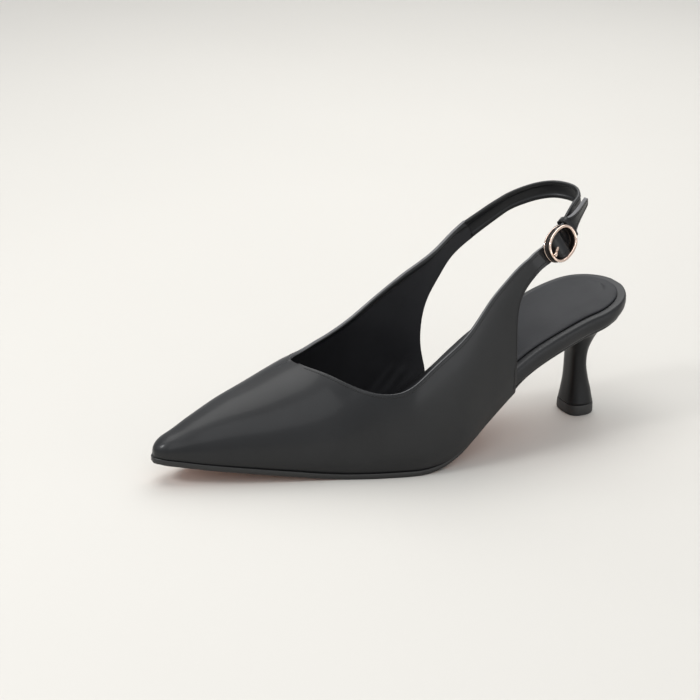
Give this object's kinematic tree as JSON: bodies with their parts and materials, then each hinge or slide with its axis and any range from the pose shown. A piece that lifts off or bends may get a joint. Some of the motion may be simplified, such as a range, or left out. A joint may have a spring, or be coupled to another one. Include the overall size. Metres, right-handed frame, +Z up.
{
  "type": "slingback pump",
  "caption": "Left slingback pump with a pointed toe, swept-up quarters, a low flared heel and a thin strap closed by an oval bar buckle on the outer side.",
  "frame": {"origin": "middle of the heel tip's floor face, on the floor the shoe stands on", "axes": "+Z up; -Y towards the toe; +X to the wearer's outer side of the left foot"},
  "size_m": [0.0775, 0.2449, 0.1187],
  "materials": {
    "upper": "smooth, semi-matte",
    "sling_strap": "smooth, semi-matte",
    "outsole": "matt",
    "insole": "smooth, wrapped",
    "sock_lining": "soft, matt",
    "heel": "smooth, tight over a hard core",
    "heel_tip": "matt",
    "buckle_frame": "rose gold plate, polished",
    "buckle_prong": "rose gold plate, polished",
    "keeper": "smooth, semi-matte"
  },
  "bodies": {
    "root": {"upper": "upper", "sling_strap": "sling_strap", "outsole": "outsole", "insole": "insole", "sock_lining": "sock_lining", "heel": "heel", "heel_tip": "heel_tip", "buckle_frame": "buckle_frame", "buckle_prong": "buckle_prong", "keeper": "keeper"}
  },
  "joints": []
}
